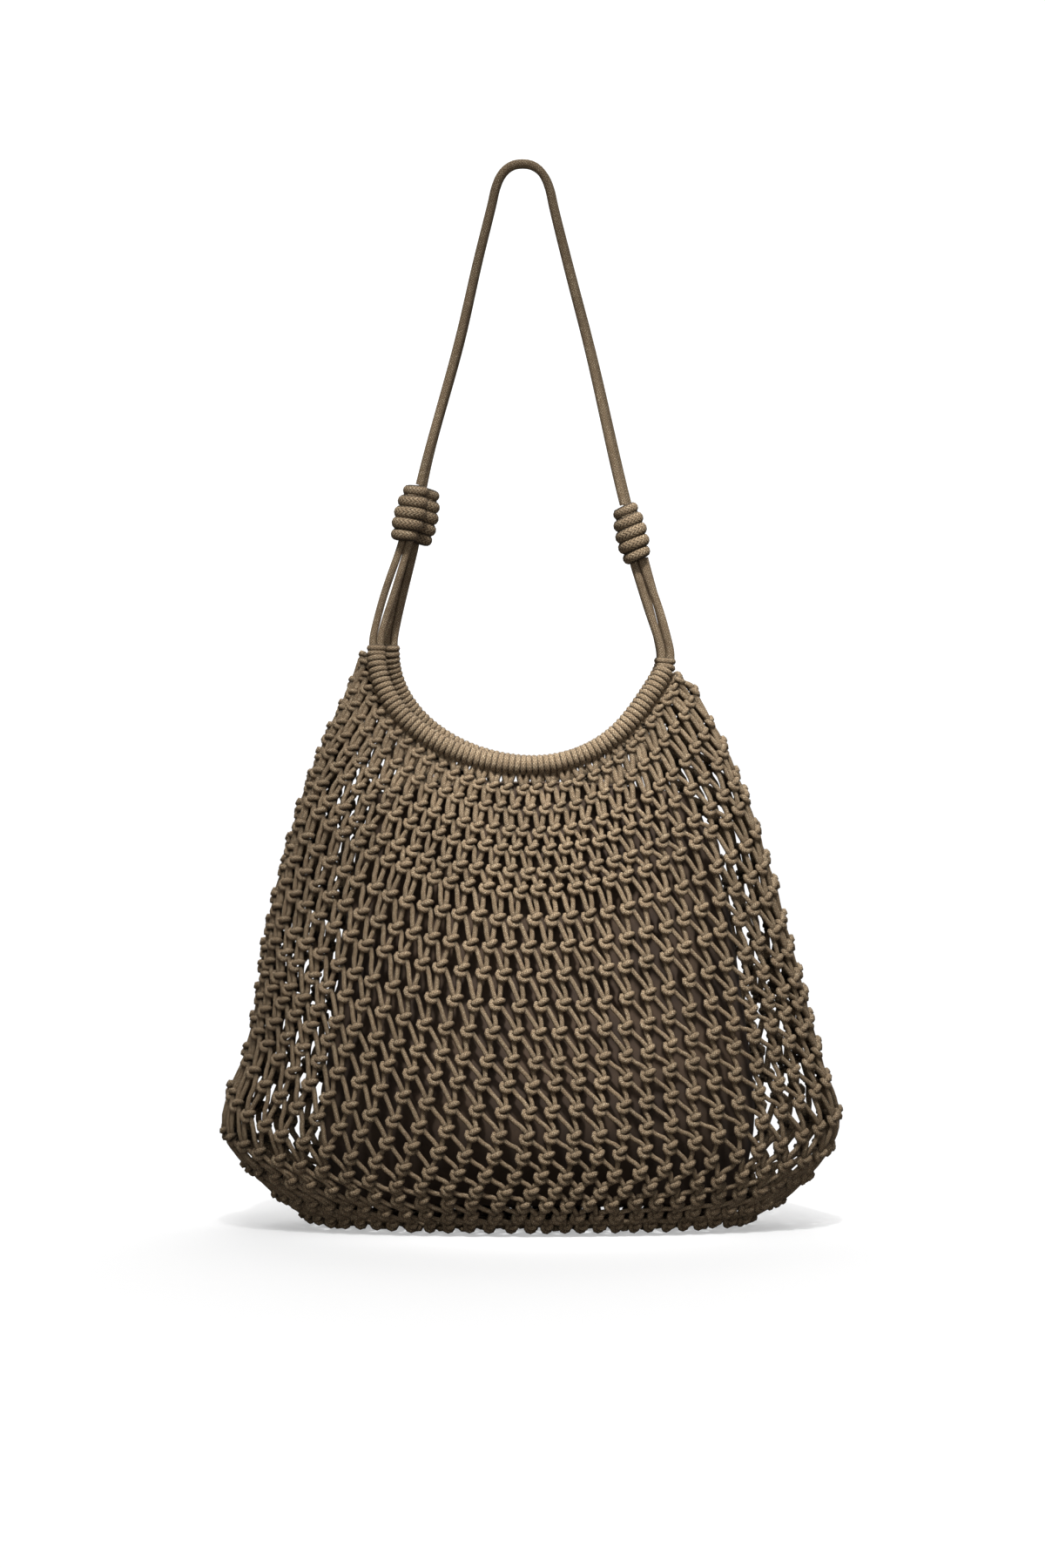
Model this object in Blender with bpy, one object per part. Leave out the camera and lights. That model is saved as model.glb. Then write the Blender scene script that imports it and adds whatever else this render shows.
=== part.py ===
# A knotted net shoulder bag with a cloth inner pouch, standing on its own base.
# Metres, +Z up. The front of the bag faces -Y, and the origin is under the middle of the base.
import math

import bmesh
import bpy
from mathutils import Vector

# Clearance between pieces that touch on the real bag
GAP = 0.0003

# Body of knotted net
BODY_WIDTH = 0.4066
BODY_DEPTH = 0.128
BODY_HEIGHT = 0.375
NET_WALL = 0.006
NET_BAR = 0.0125
TOP_BAND = 0.007
GAP_COLUMNS = 16
GAP_ROWS = 7
GAP_SHARE_MIN = 0.3
MERIDIAN_STEPS = 48
TURN_STEPS = 4096
NORMAL_STEP = 1 / 256

# The two wound rims of the mouth, half ellipses that turn upright at their ends
MOUTH_WIDTH = 0.192
MOUTH_DROP = 0.069
MOUTH_CENTRE_X = -0.003
MOUTH_HALF_OPEN = 0.0205
RIM_TUBE = 0.013
RIM_END_RISE = 0.006
RIM_SLANT = 0.0085
RIM_SEGMENTS = 22
RIM_BEVEL_STEPS = 4

# Adjustable barrel knots of the strap
KNOT_DIAMETER = 0.0215
KNOT_LENGTH = 0.037
KNOT_WRAPS = 5
KNOT_GROOVE = 0.0011
KNOT_SIDES = 12
KNOT_END_SHARE = 0.74
KNOT_CREST_SHARE = 0.4

# Cords of the strap, and the pairs of leg cords between its knots and the rims
STRAP_CORD = 0.005
STRAP_HEIGHT = 0.7012
STRAP_TOP_X = -0.0055
STRAP_STEP = 0.022
LEG_CORD = 0.0044
LEG_SEGMENTS = 6
CORD_BEVEL_STEPS = 2
LEG_PULL = 0.35
LEG_END = 0.0015
LEG_GAP = 0.0004

# Cloth pouch inside the net
POUCH_WALL = 0.0015
POUCH_COLUMNS = 32
POUCH_ROWS_PER_SECTION = 2

# Loops of the net from under the mouth to the base. Rises are shares of BODY_HEIGHT at the sides
# and at the middle, reaches are shares of half of BODY_WIDTH, depth is a share of half of BODY_DEPTH.
SECTION_COLUMNS = ("name", "side_rise", "middle_rise", "left", "right", "depth", "roundness")
NET_SECTIONS = (
    ("shoulder", 0.813, 0.635, 0.708, 0.664, 0.56, 0.58),
    ("upper", 0.568, 0.440, 0.842, 0.816, 0.76, 0.66),
    ("lower", 0.333, 0.253, 0.918, 0.932, 0.93, 0.72),
    ("corner", 0.165, 0.155, 1.000, 1.000, 1.00, 0.76),
    ("under", 0.064, 0.048, 0.845, 0.856, 0.85, 0.80),
    ("base", 0.000, 0.000, 0.700, 0.685, 0.58, 0.85),
)
TOP_ROUNDNESS = 0.5
TIP_SHARPNESS = 10

# Loops of the pouch from its mouth to its floor. Slack is how far it hangs behind the net's
# inner side at the middle, as a share of half of BODY_DEPTH.
POUCH_COLUMN_NAMES = ("name", "side_rise", "middle_rise", "left", "right", "slack", "roundness")
POUCH_SECTIONS = (
    ("mouth", 0.742, 0.768, 0.516, 0.521, 0.00, 0.62),
    ("chest", 0.640, 0.633, 0.551, 0.580, 0.05, 0.66),
    ("belly", 0.400, 0.400, 0.595, 0.644, 0.10, 0.70),
    ("hip", 0.175, 0.170, 0.630, 0.679, 0.14, 0.74),
    ("floor", 0.072, 0.072, 0.595, 0.640, 0.30, 0.78),
)

# Soft upright folds of the pouch: turn is the share of a whole turn round the bag,
# width too, and depth is a share of half of BODY_DEPTH.
FOLD_COLUMNS = ("turn", "width", "depth")
POUCH_FOLDS = (
    (0.045, 0.030, 0.050),
    (0.160, 0.035, 0.075),
    (0.330, 0.040, 0.080),
    (0.455, 0.028, 0.050),
    (0.560, 0.032, 0.060),
    (0.655, 0.036, 0.080),
    (0.835, 0.040, 0.085),
    (0.930, 0.030, 0.055),
)

# Corners of the mouth, one barrel knot and two leg cords each. Rim shift and knot shift are
# shares of MOUTH_WIDTH towards +X, rise is the height of the knot's middle over the rim's end
# as a share of KNOT_LENGTH, lean is the knot's tilt in degrees, and bow is how far its two leg
# cords part midway, as a share of LEG_CORD.
CORNER_COLUMNS = ("name", "side", "face", "rim_shift", "knot_shift", "rise", "lean", "bow")
CORNERS = (
    ("left_front", -1, -1, 0.000, 0.100, 2.50, 14.0, 0.60),
    ("left_back", -1, 1, 0.036, 0.116, 2.47, 11.0, 0.15),
    ("right_front", 1, -1, 0.000, -0.140, 2.38, -14.0, 0.20),
    ("right_back", 1, 1, -0.008, -0.160, 2.50, -14.0, 0.15),
)

# Half of the strap's line, from a knot's top to the strap's top: shares of the rise and the
# sideways distance between the two.
STRAP_COLUMNS = ("rise", "spread")
STRAP_LINE = (
    (0.484, 0.612),
    (0.702, 0.440),
    (0.876, 0.300),
    (0.931, 0.258),
    (0.958, 0.222),
    (0.982, 0.163),
    (0.996, 0.090),
)

CORD_ROUGHNESS = 0.85
CLOTH_ROUGHNESS = 0.9
CORD_COLOUR = (0.115, 0.082, 0.050, 1.0)
WOUND_COLOUR = (0.128, 0.093, 0.057, 1.0)
CLOTH_COLOUR = (0.085, 0.060, 0.038, 1.0)


def rows_of(columns, table):
    return [dict(zip(columns, row)) for row in table]


def clear_scene():
    for old in list(bpy.data.objects):
        bpy.data.objects.remove(old, do_unlink=True)


def add_material(obj, colour, roughness):
    material = bpy.data.materials.new(obj.name + "_material")
    material.use_nodes = True
    shader = material.node_tree.nodes["Principled BSDF"]
    shader.inputs["Base Color"].default_value = colour
    shader.inputs["Roughness"].default_value = roughness
    shader.inputs["Metallic"].default_value = 0.0
    obj.data.materials.append(material)


def add_mesh_object(name, bm, colour, roughness):
    bmesh.ops.recalc_face_normals(bm, faces=bm.faces)
    mesh = bpy.data.meshes.new(name)
    bm.to_mesh(mesh)
    bm.free()
    obj = bpy.data.objects.new(name, mesh)
    bpy.context.scene.collection.objects.link(obj)
    add_material(obj, colour, roughness)
    return obj


def add_tube(name, points, diameter, colour, resolution):
    # A cord as a round tube with flat ends along its centreline
    curve = bpy.data.curves.new(name, "CURVE")
    curve.dimensions = "3D"
    curve.bevel_depth = diameter / 2
    curve.bevel_resolution = resolution
    curve.use_fill_caps = True
    spline = curve.splines.new("POLY")
    spline.points.add(len(points) - 1)
    for slot, point in zip(spline.points, points):
        slot.co = (point.x, point.y, point.z, 1.0)
    obj = bpy.data.objects.new(name, curve)
    bpy.context.scene.collection.objects.link(obj)
    add_material(obj, colour, CORD_ROUGHNESS)
    return obj


def end_knots(knots):
    # The knots with one more at each end, which carry on the line's first and last step
    return [2 * knots[0] - knots[1], *knots, 2 * knots[-1] - knots[-2]]


def blend_points(before, start, end, after, share):
    # A point between start and end on a smooth curve that allows for uneven spacing
    span_in = max((start - before).length, 1e-9)
    span = max((end - start).length, 1e-9)
    span_out = max((after - end).length, 1e-9)
    leave = ((start - before) * (span / span_in) + (end - start) * (span_in / span)) / (span_in + span)
    reach = ((end - start) * (span_out / span) + (after - end) * (span / span_out)) / (span + span_out)
    squared, cubed = share ** 2, share ** 3
    return (start * (2 * cubed - 3 * squared + 1) + leave * span * (cubed - 2 * squared + share)
            + end * (3 * squared - 2 * cubed) + reach * span * (cubed - squared))


def smooth_line(knots, steps):
    # A smooth curve through the knots, with this many steps between neighbours
    around = end_knots(knots)
    line = []
    for i in range(len(knots) - 1):
        line += [blend_points(*around[i:i + 4], k / steps) for k in range(steps)]
    line.append(knots[-1].copy())
    return line


def spaced_line(knots, spacing):
    # A smooth curve through the knots, with points about this far apart
    around = end_knots(knots)
    line = [knots[0].copy()]
    for i in range(len(knots) - 1):
        steps = max(1, round((knots[i + 1] - knots[i]).length / spacing))
        line += [blend_points(*around[i:i + 4], k / steps) for k in range(1, steps + 1)]
    return line


def line_length(line):
    return sum((b - a).length for a, b in zip(line, line[1:]))


def at_shares(line, shares):
    # Points of a polyline at shares of its length
    lengths = [0.0]
    for a, b in zip(line, line[1:]):
        lengths.append(lengths[-1] + (b - a).length)
    found = []
    for share in shares:
        target = min(max(share, 0.0), 1.0) * lengths[-1]
        i = 0
        while i < len(line) - 2 and lengths[i + 1] < target:
            i += 1
        span = max(lengths[i + 1] - lengths[i], 1e-9)
        found.append(line[i].lerp(line[i + 1], (target - lengths[i]) / span))
    return found


def mouth_half_depth(sine):
    # Half of the distance between the two rims' centrelines, which touch side by side at the ends
    at_ends = (RIM_TUBE + GAP) / 2
    return math.sqrt(at_ends ** 2 + (MOUTH_HALF_OPEN ** 2 - at_ends ** 2) * sine)


def rim_point(turn, shift_left, shift_right, outward):
    # A point of the rim's half ellipse in the plane of the mouth; turn runs from 0 at the right end
    # to half a turn at the left one, and outward moves it away from the mouth's middle
    angle = turn * math.tau
    left = MOUTH_CENTRE_X - MOUTH_WIDTH / 2 + shift_left
    right = MOUTH_CENTRE_X + MOUTH_WIDTH / 2 + shift_right
    middle = (left + right) / 2
    half = (right - left) / 2
    normal = Vector((MOUTH_DROP * math.cos(angle), 0, -half * math.sin(angle))).normalized()
    slant = -RIM_SLANT / 2 * math.cos(angle)
    return Vector((
        middle + half * math.cos(angle) + normal.x * outward,
        0,
        BODY_HEIGHT + slant - MOUTH_DROP * math.sin(angle) + normal.z * outward,
    ))


def top_loop_point(turn):
    # Upper edge of the net, which lies against the underside of the rims
    angle = turn * math.tau
    cosine, sine = math.cos(angle), math.sin(angle)
    folded = turn if turn <= 0.5 else 1 - turn
    clear = RIM_TUBE / 2 + GAP + NET_WALL * cosine ** TIP_SHARPNESS
    settled = abs(sine) ** TOP_ROUNDNESS
    shifts = [shift * settled for shift in rim_shifts("back" if sine > 0 else "front")]
    point = rim_point(folded, *shifts, clear)
    depth = MOUTH_HALF_OPEN + NET_WALL / 2
    point.y = math.copysign(depth * settled, sine)
    return point


def section_point(row, turn):
    angle = turn * math.tau
    cosine, sine = math.cos(angle), math.sin(angle)
    reach = row["right"] if cosine >= 0 else row["left"]
    rise = row["middle_rise"] + (row["side_rise"] - row["middle_rise"]) * cosine ** 2
    depth = BODY_DEPTH / 2 * row["depth"] * abs(sine) ** row["roundness"]
    return Vector((BODY_WIDTH / 2 * reach * cosine, math.copysign(depth, sine), BODY_HEIGHT * rise))


def net_meridian(turn):
    # Line down the outside of the net from the rim to the base
    turn = turn % 1.0
    knots = [top_loop_point(turn)]
    knots += [section_point(row, turn) for row in rows_of(SECTION_COLUMNS, NET_SECTIONS)]
    return smooth_line(knots, MERIDIAN_STEPS // len(NET_SECTIONS))


class NetSurface:
    # The outside and the inside of the net, over shares of a turn and shares of the way down

    def __init__(self):
        self.lines = {}

    def outer(self, turn, share):
        key = round((turn % 1.0) * TURN_STEPS)
        if key not in self.lines:
            self.lines[key] = net_meridian(key / TURN_STEPS)
        return at_shares(self.lines[key], [share])[0]

    def inner(self, turn, share):
        # Straight through the wall, and never lower than the floor of the base
        step = NORMAL_STEP
        point = self.outer(turn, share)
        round_it = self.outer(turn + step, share) - self.outer(turn - step, share)
        down_it = self.outer(turn, min(share + step, 1)) - self.outer(turn, max(share - step, 0))
        inward = round_it.cross(down_it).normalized()
        middle = Vector((MOUTH_CENTRE_X, 0, point.z))
        if inward.dot(middle - point) < 0:
            inward.negate()
        moved = point + inward * NET_WALL
        if share >= 1:
            flat = Vector((inward.x, inward.y, 0)).normalized()
            moved = point + flat * NET_WALL
            moved.z = NET_WALL
        moved.z = max(moved.z, NET_WALL)
        return moved


def net_gap_share(corners):
    # How much of a diamond stays open between bars of NET_BAR
    half_width = (corners[0] - corners[2]).length / 2
    half_height = (corners[1] - corners[3]).length / 2
    reach = half_width * half_height / math.hypot(half_width, half_height)
    return max(GAP_SHARE_MIN, 1 - NET_BAR / 2 / reach)


def build_net_body(surface):
    # A shell of crossing bars with a closed flat base. The lattice has two columns and one row
    # for each gap, and each gap spans two of both.
    columns = 2 * GAP_COLUMNS
    rows = GAP_ROWS + 1
    band = TOP_BAND / line_length(net_meridian(0.75))
    bm = bmesh.new()
    made = {}

    def place(i, j):
        return (i % columns) / columns, band + (1 - band) * j / rows

    def vertex(i, j, inside):
        key = (round((i % columns) * 1000), round(j * 1000), inside)
        if key not in made:
            turn, share = place(i, j)
            if j < 0:
                share = 0.0
            spot = surface.inner(turn, share) if inside else surface.outer(turn, share)
            made[key] = bm.verts.new(spot)
        return made[key]

    def both_sides(outline):
        for inside in (False, True):
            face = [vertex(i, j, inside) for i, j in outline]
            bm.faces.new(face if inside else face[::-1])

    for j in range(1, rows):
        for i in range(columns):
            if (i + j) % 2 == 0:
                continue
            corners = [(i - 1, j), (i, j - 1), (i + 1, j), (i, j + 1)]
            share = net_gap_share([surface.outer(*place(*c)) for c in corners])
            outline = []
            for a, b in zip(corners, corners[1:] + corners[:1]):
                outline += [a, ((a[0] + b[0]) / 2, (a[1] + b[1]) / 2)]
            opening = [(i + (a - i) * share, j + (b - j) * share) for a, b in outline]
            for k in range(8):
                n = (k + 1) % 8
                both_sides([outline[k], outline[n], opening[n], opening[k]])
                wall = [vertex(*opening[k], False), vertex(*opening[n], False)]
                wall += [vertex(*opening[n], True), vertex(*opening[k], True)]
                bm.faces.new(wall)

    for i in range(columns):
        both_sides([(i, 0), (i + 1, 0), (i + 1, -1), (i, -1)])
        rim = [vertex(i, -1, False), vertex(i + 1, -1, False)]
        rim += [vertex(i + 1, -1, True), vertex(i, -1, True)]
        bm.faces.new(rim)
        if i % 2 == 1:
            both_sides([(i - 1, 0), (i - 0.5, 0.5), (i, 1), (i + 0.5, 0.5), (i + 1, 0), (i, 0)])
        if (i + rows) % 2 == 1:
            both_sides([(i - 1, rows), (i, rows), (i + 1, rows), (i + 0.5, rows - 0.5),
                        (i, rows - 1), (i - 0.5, rows - 0.5)])
    for inside in (False, True):
        bm.faces.new([vertex(i, rows, inside) for i in range(columns)])
    return add_mesh_object("net_body", bm, CORD_COLOUR, CORD_ROUGHNESS)


def corner(name):
    return next(row for row in rows_of(CORNER_COLUMNS, CORNERS) if row["name"] == name)


def rim_shifts(face_name):
    left = corner("left_" + face_name)["rim_shift"] * MOUTH_WIDTH
    right = corner("right_" + face_name)["rim_shift"] * MOUTH_WIDTH
    return left, right


def rim_end(row):
    # Middle of the flat end of a rim
    face_name = row["name"].split("_")[1]
    point = rim_point(0.0 if row["side"] > 0 else 0.5, *rim_shifts(face_name), 0)
    point.y = row["face"] * mouth_half_depth(0)
    point.z += RIM_END_RISE
    return point


def build_rim(face_name, face):
    points = [rim_end(corner("right_" + face_name))]
    for k in range(RIM_SEGMENTS + 1):
        turn = 0.5 * k / RIM_SEGMENTS
        point = rim_point(turn, *rim_shifts(face_name), 0)
        point.y = face * mouth_half_depth(math.sin(turn * math.tau))
        points.append(point)
    points.append(rim_end(corner("left_" + face_name)))
    return add_tube(face_name + "_rim", points, RIM_TUBE, WOUND_COLOUR, RIM_BEVEL_STEPS)


def knot_axis(row):
    lean = math.radians(row["lean"])
    return Vector((math.sin(lean), 0, math.cos(lean)))


def knot_middle(row):
    end = rim_end(row)
    return Vector((
        end.x + row["knot_shift"] * MOUTH_WIDTH,
        row["face"] * (KNOT_DIAMETER + GAP) / 2,
        end.z - RIM_END_RISE + row["rise"] * KNOT_LENGTH,
    ))


def build_knot(row):
    # A stack of round wraps turned about the knot's axis, with flat ends for the cords
    radius = KNOT_DIAMETER / 2
    end_radius = radius * KNOT_END_SHARE
    pitch = KNOT_LENGTH / KNOT_WRAPS
    profile = [(end_radius, -KNOT_LENGTH / 2)]
    for k in range(KNOT_WRAPS):
        low = -KNOT_LENGTH / 2 + pitch * k
        crest = radius if 0 < k < KNOT_WRAPS - 1 else (radius + end_radius) / 2 + KNOT_GROOVE
        profile.append((crest, low + pitch * (1 - KNOT_CREST_SHARE) / 2))
        profile.append((crest, low + pitch * (1 + KNOT_CREST_SHARE) / 2))
        if k < KNOT_WRAPS - 1:
            profile.append((min(crest, radius) - KNOT_GROOVE, low + pitch))
    profile.append((end_radius, KNOT_LENGTH / 2))
    bm = bmesh.new()
    rings = []
    for reach, height in profile:
        ring = []
        for k in range(KNOT_SIDES):
            angle = math.tau * (k + 0.5) / KNOT_SIDES
            ring.append(bm.verts.new((reach * math.cos(angle), reach * math.sin(angle), height)))
        rings.append(ring)
    for low_ring, high_ring in zip(rings, rings[1:]):
        for k in range(KNOT_SIDES):
            n = (k + 1) % KNOT_SIDES
            bm.faces.new([low_ring[k], low_ring[n], high_ring[n], high_ring[k]])
    bm.faces.new(rings[0][::-1])
    bm.faces.new(rings[-1])
    obj = add_mesh_object(row["name"] + "_knot", bm, WOUND_COLOUR, CORD_ROUGHNESS)
    obj.location = knot_middle(row)
    obj.rotation_euler = (0, math.radians(row["lean"]), 0)
    return obj


def build_legs(row):
    # Two cords side by side from the knot's lower end to the rim's end, a little apart midway
    axis = knot_axis(row)
    upright = Vector((0, 0, 1))
    top = knot_middle(row) - axis * (KNOT_LENGTH / 2 + GAP + LEG_END)
    foot = rim_end(row) + upright * (GAP + LEG_END)
    pull = (top - foot).length * LEG_PULL
    aside = (LEG_CORD + LEG_GAP) / 2
    for name, side in (("outer", row["side"]), ("inner", -row["side"])):
        points = [top + axis * LEG_END + Vector((axis.z, 0, -axis.x)) * side * aside]
        for k in range(LEG_SEGMENTS + 1):
            t = k / LEG_SEGMENTS
            near, far = (1 - t) ** 2, t ** 2
            pull_out = top - axis * pull
            pull_in = foot + upright * pull
            centre = (top * near * (1 - t) + pull_out * 3 * t * near
                      + pull_in * 3 * far * (1 - t) + foot * far * t)
            along = ((pull_out - top) * near + (pull_in - pull_out) * 2 * t * (1 - t)
                     + (foot - pull_in) * far).normalized()
            across = Vector((-along.z, 0, along.x))
            bow = row["bow"] * LEG_CORD / 2 * math.sin(math.pi * t) ** 2
            points.append(centre + across * side * (aside + bow))
        points.append(foot - upright * LEG_END + Vector((side * aside, 0, 0)))
        add_tube(row["name"] + "_" + name + "_leg", points, LEG_CORD, CORD_COLOUR, CORD_BEVEL_STEPS)


def strap_side(row):
    # Points of one cord from the knot's top to just before the strap's top
    axis = knot_axis(row)
    foot = knot_middle(row) + axis * (KNOT_LENGTH / 2 + GAP)
    near_top = row["face"] * (STRAP_CORD + GAP) / 2
    points = [foot, foot + axis * STRAP_CORD]
    for step in rows_of(STRAP_COLUMNS, STRAP_LINE):
        share = step["rise"]
        x = STRAP_TOP_X + (foot.x - STRAP_TOP_X) * step["spread"]
        z = foot.z + (STRAP_HEIGHT - foot.z) * share
        y = near_top + (foot.y - near_top) * max(0.0, 1 - share / STRAP_LINE[1][0])
        points.append(Vector((x, y, z)))
    return points


def build_strap_cord(face_name, face):
    left = strap_side(corner("left_" + face_name))
    right = strap_side(corner("right_" + face_name))
    top = Vector((STRAP_TOP_X, face * (STRAP_CORD + GAP) / 2, STRAP_HEIGHT))
    line = spaced_line(left + [top] + right[::-1], STRAP_STEP)
    return add_tube("strap_" + face_name + "_cord", line, STRAP_CORD, CORD_COLOUR, CORD_BEVEL_STEPS)


def pouch_depth(surface, rise):
    # Half depth of the net's inner side at this height over the floor, at the middle of the bag
    previous = surface.inner(0.25, 0.0)
    for k in range(1, MERIDIAN_STEPS + 1):
        point = surface.inner(0.25, k / MERIDIAN_STEPS)
        if point.z <= rise:
            share = (previous.z - rise) / max(previous.z - point.z, 1e-9)
            return abs(previous.lerp(point, share).y)
        previous = point
    return abs(previous.y)


def fold_depth(turn):
    total = 0.0
    for fold in rows_of(FOLD_COLUMNS, POUCH_FOLDS):
        away = abs((turn - fold["turn"] + 0.5) % 1.0 - 0.5) / fold["width"]
        if away < 1:
            total += fold["depth"] * (0.5 + 0.5 * math.cos(math.pi * away))
    return total * BODY_DEPTH / 2


def build_pouch(surface):
    # An open cloth bag whose mouth lies against the net's top band
    rows = rows_of(POUCH_COLUMN_NAMES, POUCH_SECTIONS)
    bm = bmesh.new()
    rings = []
    lines = []
    for k in range(POUCH_COLUMNS):
        turn = k / POUCH_COLUMNS
        angle = turn * math.tau
        cosine, sine = math.cos(angle), math.sin(angle)
        knots = []
        for row in rows:
            reach = BODY_WIDTH / 2 * (row["right"] if cosine >= 0 else row["left"])
            rise = BODY_HEIGHT * (row["middle_rise"]
                                  + (row["side_rise"] - row["middle_rise"]) * cosine ** 2)
            depth = pouch_depth(surface, BODY_HEIGHT * row["middle_rise"]) - GAP
            depth -= row["slack"] * BODY_DEPTH / 2
            fold = fold_depth(turn) if row["slack"] else 0.0
            y = (depth - fold) * abs(sine) ** row["roundness"]
            knots.append(Vector((reach * cosine * (1 - fold / reach), math.copysign(y, sine), rise)))
        lines.append(smooth_line(knots, POUCH_ROWS_PER_SECTION))
    for j in range(len(lines[0])):
        rings.append([bm.verts.new(line[j]) for line in lines])
    for high, low in zip(rings, rings[1:]):
        for k in range(POUCH_COLUMNS):
            n = (k + 1) % POUCH_COLUMNS
            bm.faces.new([high[k], high[n], low[n], low[k]])
    bm.faces.new(rings[-1])
    obj = add_mesh_object("inner_pouch", bm, CLOTH_COLOUR, CLOTH_ROUGHNESS)
    wall = obj.modifiers.new("wall", "SOLIDIFY")
    wall.thickness = POUCH_WALL
    wall.offset = -1.0
    return obj


def build_bag():
    clear_scene()
    surface = NetSurface()
    build_net_body(surface)
    build_pouch(surface)
    for face_name, face in (("front", -1), ("back", 1)):
        build_rim(face_name, face)
        build_strap_cord(face_name, face)
    for row in rows_of(CORNER_COLUMNS, CORNERS):
        build_knot(row)
        build_legs(row)


build_bag()
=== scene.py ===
# Knotted net shoulder bag with a cloth pouch inside, set up for a studio picture.
# Metres, +Z up, front towards -Y.
import math
import random
from bisect import bisect_right

import bmesh
import bpy
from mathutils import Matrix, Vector


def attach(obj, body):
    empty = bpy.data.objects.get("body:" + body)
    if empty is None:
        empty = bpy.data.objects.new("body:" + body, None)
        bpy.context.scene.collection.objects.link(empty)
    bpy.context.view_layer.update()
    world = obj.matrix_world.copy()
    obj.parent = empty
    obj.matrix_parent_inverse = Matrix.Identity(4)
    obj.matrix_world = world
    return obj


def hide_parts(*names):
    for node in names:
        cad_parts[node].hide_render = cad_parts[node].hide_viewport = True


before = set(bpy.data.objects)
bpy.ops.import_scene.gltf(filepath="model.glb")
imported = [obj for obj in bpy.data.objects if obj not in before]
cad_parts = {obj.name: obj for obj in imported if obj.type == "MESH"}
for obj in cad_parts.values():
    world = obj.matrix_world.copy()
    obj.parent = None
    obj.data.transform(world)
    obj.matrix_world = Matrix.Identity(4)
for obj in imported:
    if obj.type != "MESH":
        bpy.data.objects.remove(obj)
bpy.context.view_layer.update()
print("frame loaded")


def linearColour(hexText):
    # sRGB hex to the linear numbers that the sockets take
    channels = [int(hexText[k:k + 2], 16) / 255 for k in (1, 3, 5)]
    return (*[c / 12.92 if c <= 0.04045 else ((c + 0.055) / 1.055) ** 2.4 for c in channels], 1.0)


def addNode(tree, kind, inputs=None, **settings):
    # One node with its settings, and its sockets set or linked
    node = tree.nodes.new(kind)
    for name, value in settings.items():
        setattr(node, name, value)
    for key, value in (inputs or {}).items():
        if isinstance(value, bpy.types.NodeSocket):
            tree.links.new(value, node.inputs[key])
        else:
            node.inputs[key].default_value = value
    return node


# Camera, at the height of the picture's middle and almost level

cameraPlace = {
    "aim": (-0.0055, 0.0, 0.2935),
    "distance": 2.6,
    "elevation": 1.5,      # degrees
    "frameHeight": 1.035,  # metres of the picture's tall side at the bag
    "sensor": 36.0,
}


def setCamera():
    data = bpy.data.cameras.new("camera")
    data.sensor_width = cameraPlace["sensor"]
    data.lens = cameraPlace["sensor"] * cameraPlace["distance"] / cameraPlace["frameHeight"]
    camera = bpy.data.objects.new("camera", data)
    bpy.context.scene.collection.objects.link(camera)
    rise = math.radians(cameraPlace["elevation"])
    aim = Vector(cameraPlace["aim"])
    camera.location = aim + Vector((0, -math.cos(rise), math.sin(rise))) * cameraPlace["distance"]
    camera.rotation_euler = (math.pi / 2 - rise, 0, 0)
    bpy.context.scene.camera = camera


setCamera()
print("camera set")


# Shape of the bag, the same sections as the solids have

bagShape = {
    "width": 0.4066,
    "depth": 0.128,
    "height": 0.375,
    "wall": 0.006,
    "gap": 0.0003,
    "mouthWidth": 0.192,
    "mouthDrop": 0.069,
    "mouthCentre": -0.003,
    "halfOpen": 0.0205,
    "rimTube": 0.013,
    "rimEndRise": 0.006,
    "rimSlant": 0.0085,
    "rimStraight": 0.0075,  # how far the rims' right halves run inside an even oval
    "topRoundness": 0.5,
    "tipSharpness": 10,
}

sectionColumns = ("sideRise", "middleRise", "left", "right", "depth", "roundness")
netSections = [dict(zip(sectionColumns, row)) for row in (
    (0.813, 0.635, 0.708, 0.664, 0.56, 0.58),
    (0.568, 0.440, 0.842, 0.816, 0.76, 0.66),
    (0.333, 0.253, 0.918, 0.932, 0.93, 0.72),
    (0.165, 0.155, 1.000, 1.000, 1.00, 0.76),
    (0.064, 0.048, 0.845, 0.856, 0.85, 0.80),
    (0.000, 0.000, 0.700, 0.685, 0.58, 0.85),
)]

# Tip shift moves a rim's end, and side shift is how far strap and legs come out of a knot beside its middle
cornerColumns = ("name", "side", "face", "rimShift", "knotShift", "rise", "lean", "bow", "wrapLean",
                 "tipShift", "sideShift", "legSize")
corners = [dict(zip(cornerColumns, row)) for row in (
    ("left_front", -1, -1, 0.000, 0.103, 2.50, 14.0, 0.24, -10.0, -0.0026, 0.0018, 1.00),
    ("left_back", -1, 1, 0.036, 0.108, 2.47, 11.0, 0.00, 6.0, -0.0008, -0.0038, 1.00),
    ("right_front", 1, -1, 0.000, -0.140, 2.38, -14.0, 0.22, -12.0, -0.0040, -0.0005, 1.14),
    ("right_back", 1, 1, -0.008, -0.133, 2.39, -14.0, 0.05, -12.0, -0.0036, 0.0028, 1.00),
)]


def cornerCalled(name):
    return next(row for row in corners if row["name"] == name)


def rimShifts(faceName):
    rows = [cornerCalled(side + "_" + faceName) for side in ("left", "right")]
    return [row["rimShift"] * bagShape["mouthWidth"] + row["tipShift"] for row in rows]


def mouthHalfDepth(sine):
    atEnds = (bagShape["rimTube"] + bagShape["gap"]) / 2
    return math.sqrt(atEnds ** 2 + (bagShape["halfOpen"] ** 2 - atEnds ** 2) * sine)


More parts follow.
